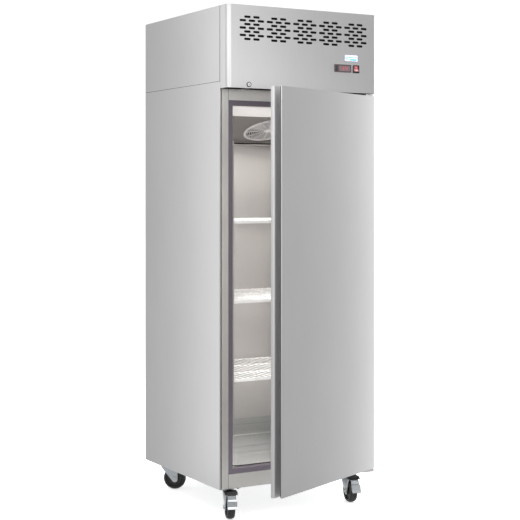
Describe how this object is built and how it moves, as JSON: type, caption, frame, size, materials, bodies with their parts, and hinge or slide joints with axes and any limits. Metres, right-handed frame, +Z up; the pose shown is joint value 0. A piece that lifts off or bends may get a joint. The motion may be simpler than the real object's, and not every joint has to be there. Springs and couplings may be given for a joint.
{
  "type": "reach in refrigerator",
  "caption": "Upright commercial refrigerator with a hinged full-height door, wire shelves, a clear bin, a vented top machine housing and swivel casters.",
  "frame": {"origin": "on the floor, under the middle of the refrigerator's whole plan outline with its door resting partly open", "axes": "+Z up, +Y to the back, +X to the right as seen from the front; the front panel faces -Y"},
  "size_m": [0.684, 1.0021, 1.976],
  "materials": {
    "stainless": "satin",
    "frame_steel": "satin",
    "liner_steel": "satin",
    "bright_trim": "satin",
    "galvanised": "matte",
    "zinc_plate": "satin",
    "foam": "matte",
    "dark_strip": "satin",
    "white_wire": "satin",
    "white_plastic": "satin",
    "grey_plastic": "satin",
    "clear_plastic": "gloss",
    "black_plastic": "satin",
    "display_window": "gloss",
    "red_plastic": "gloss",
    "label_white": "satin",
    "gasket_grey": "matte",
    "wheel_black": "satin",
    "copper": "satin",
    "fin_metal": "satin",
    "black_paint": "satin",
    "chrome_lock": "polished"
  },
  "bodies": {
    "cabinet": {"side_panels": "stainless", "back_panel": "galvanised", "underside_panel": "galvanised", "front_frame": "frame_steel", "breaker_strips": "dark_strip", "inner_walls": "liner_steel", "inner_floor_and_ceiling": "liner_steel", "wall_foam": "foam", "shelf_pilasters": "liner_steel", "shelf_clips": "zinc_plate", "interior_light": "white_plastic", "evaporator_cover": "liner_steel", "drain_tray": "liner_steel", "fan_guard": "grey_plastic", "evaporator_coil": "fin_metal", "fan_motors": "black_paint", "machine_deck": "galvanised", "housing_sides": "stainless", "housing_back": "stainless", "housing_top": "stainless", "compressor": "black_paint", "condenser_coil": "fin_metal", "refrigerant_pipes": "copper", "evaporation_pan": "black_plastic", "control_box": "grey_plastic", "cable_gland": "black_plastic", "hinge_brackets": "frame_steel", "caster_plates": "zinc_plate"},
    "door": {"door_skin": "stainless", "door_handle_channel": "bright_trim", "door_inner_panel": "liner_steel", "door_foam": "foam", "door_gasket": "gasket_grey", "door_end_caps": "grey_plastic"},
    "front_panel": {"top_front_panel": "stainless", "product_label": "label_white", "temperature_controller": "display_window", "power_switch_bezel": "black_plastic", "lock_body": "chrome_lock"},
    "rocker": {"power_switch_rocker": "red_plastic"},
    "lock_core": {"lock_cylinder": "chrome_lock"},
    "bolt": {"lock_bolt": "zinc_plate"},
    "key_up": {"controller_key_up": "black_plastic"},
    "key_down": {"controller_key_down": "black_plastic"},
    "shelf_lower": {"wire_shelf_lower": "white_wire"},
    "shelf_middle": {"wire_shelf_middle": "white_wire"},
    "shelf_upper": {"wire_shelf_upper": "white_wire"},
    "bin": {"produce_bin": "clear_plastic"},
    "evaporator_fan": {"evaporator_fan_blades": "black_plastic"},
    "condenser_fan": {"condenser_fan_blades": "black_plastic"},
    "fork_front_left": {"caster_fork_front_left": "zinc_plate"},
    "wheel_front_left": {"caster_wheel_front_left": "wheel_black"},
    "pedal_front_left": {"brake_pedal_front_left": "zinc_plate"},
    "fork_front_right": {"caster_fork_front_right": "zinc_plate"},
    "wheel_front_right": {"caster_wheel_front_right": "wheel_black"},
    "pedal_front_right": {"brake_pedal_front_right": "zinc_plate"},
    "fork_rear_left": {"caster_fork_rear_left": "zinc_plate"},
    "wheel_rear_left": {"caster_wheel_rear_left": "wheel_black"},
    "fork_rear_right": {"caster_fork_rear_right": "zinc_plate"},
    "wheel_rear_right": {"caster_wheel_rear_right": "wheel_black"}
  },
  "joints": [
    {"name": "door_hinge", "type": "hinge", "parent": "cabinet", "child": "door", "pos_m": [0.31805, -0.21607, 0.895], "axis": [0, 0, 1], "range_deg": [-24.57, 85]},
    {"name": "front_panel_hinge", "type": "hinge", "parent": "cabinet", "child": "front_panel", "pos_m": [-0.00195, -0.17857, 1.9725], "axis": [-1, 0, 0], "range_deg": [0, 60]},
    {"name": "power_switch_rock", "type": "hinge", "parent": "front_panel", "child": "rocker", "pos_m": [0.24445, -0.23107, 1.753], "axis": [1, 0, 0], "range_deg": [0, 24]},
    {"name": "lock_turn", "type": "hinge", "parent": "front_panel", "child": "lock_core", "pos_m": [-0.24775, -0.23607, 1.672], "axis": [0, 1, 0], "range_deg": [0, 90]},
    {"name": "lock_bolt_slide", "type": "slide", "parent": "front_panel", "child": "bolt", "axis": [0, 0, -1], "range_m": [0, 0.01]},
    {"name": "controller_key_up_press", "type": "slide", "parent": "front_panel", "child": "key_up", "axis": [0, 1, 0], "range_m": [0, 0.0008], "stiffness_N_per_m": 200},
    {"name": "controller_key_down_press", "type": "slide", "parent": "front_panel", "child": "key_down", "axis": [0, 1, 0], "range_m": [0, 0.0008], "stiffness_N_per_m": 200},
    {"name": "shelf_lower_slide", "type": "slide", "parent": "cabinet", "child": "shelf_lower", "axis": [0, -1, 0], "range_m": [0, 0.03]},
    {"name": "shelf_middle_slide", "type": "slide", "parent": "cabinet", "child": "shelf_middle", "axis": [0, -1, 0], "range_m": [0, 0.03]},
    {"name": "shelf_upper_slide", "type": "slide", "parent": "cabinet", "child": "shelf_upper", "axis": [0, -1, 0], "range_m": [0, 0.03]},
    {"name": "produce_bin_slide", "type": "slide", "parent": "cabinet", "child": "bin", "axis": [0, -1, 0], "range_m": [0, 0.03]},
    {"name": "evaporator_fan_spin", "type": "hinge", "parent": "cabinet", "child": "evaporator_fan", "pos_m": [-0.00195, 0.03993, 1.51515], "axis": [0, 0.3649, 0.9311], "continuous": true},
    {"name": "condenser_fan_spin", "type": "hinge", "parent": "cabinet", "child": "condenser_fan", "pos_m": [0.08805, -0.08707, 1.812], "axis": [0, 1, 0], "continuous": true},
    {"name": "caster_swivel_front_left", "type": "hinge", "parent": "cabinet", "child": "fork_front_left", "pos_m": [-0.27795, -0.12707, 0.104], "axis": [0, 0, 1], "continuous": true},
    {"name": "caster_roll_front_left", "type": "hinge", "parent": "fork_front_left", "child": "wheel_front_left", "pos_m": [-0.28977, -0.16001, 0.04725], "axis": [0.9413, -0.3376, 0], "continuous": true},
    {"name": "brake_pedal_press_front_left", "type": "hinge", "parent": "fork_front_left", "child": "pedal_front_left", "pos_m": [-0.29686, -0.17978, 0.097], "axis": [0.9413, -0.3376, 0], "range_deg": [0, 12]},
    {"name": "caster_swivel_front_right", "type": "hinge", "parent": "cabinet", "child": "fork_front_right", "pos_m": [0.27405, -0.12707, 0.104], "axis": [0, 0, 1], "continuous": true},
    {"name": "caster_roll_front_right", "type": "hinge", "parent": "fork_front_right", "child": "wheel_front_right", "pos_m": [0.26663, -0.16127, 0.04725], "axis": [0.9773, -0.2121, 0], "continuous": true},
    {"name": "brake_pedal_press_front_right", "type": "hinge", "parent": "fork_front_right", "child": "pedal_front_right", "pos_m": [0.26217, -0.18179, 0.097], "axis": [0.9773, -0.2121, 0], "range_deg": [0, 12]},
    {"name": "caster_swivel_rear_left", "type": "hinge", "parent": "cabinet", "child": "fork_rear_left", "pos_m": [-0.27795, 0.42493, 0.104], "axis": [0, 0, 1], "continuous": true},
    {"name": "caster_roll_rear_left", "type": "hinge", "parent": "fork_rear_left", "child": "wheel_rear_left", "pos_m": [-0.24756, 0.40757, 0.04725], "axis": [0.4961, 0.8682, 0], "continuous": true},
    {"name": "caster_swivel_rear_right", "type": "hinge", "parent": "cabinet", "child": "fork_rear_right", "pos_m": [0.27405, 0.42493, 0.104], "axis": [0, 0, 1], "continuous": true},
    {"name": "caster_roll_rear_right", "type": "hinge", "parent": "fork_rear_right", "child": "wheel_rear_right", "pos_m": [0.2583, 0.45619, 0.04725], "axis": [-0.893, -0.45, 0], "continuous": true}
  ],
  "couplings": [
    {"joint": "lock_bolt_slide", "follows": "lock_turn", "m_per_rad": 0.006366}
  ]
}
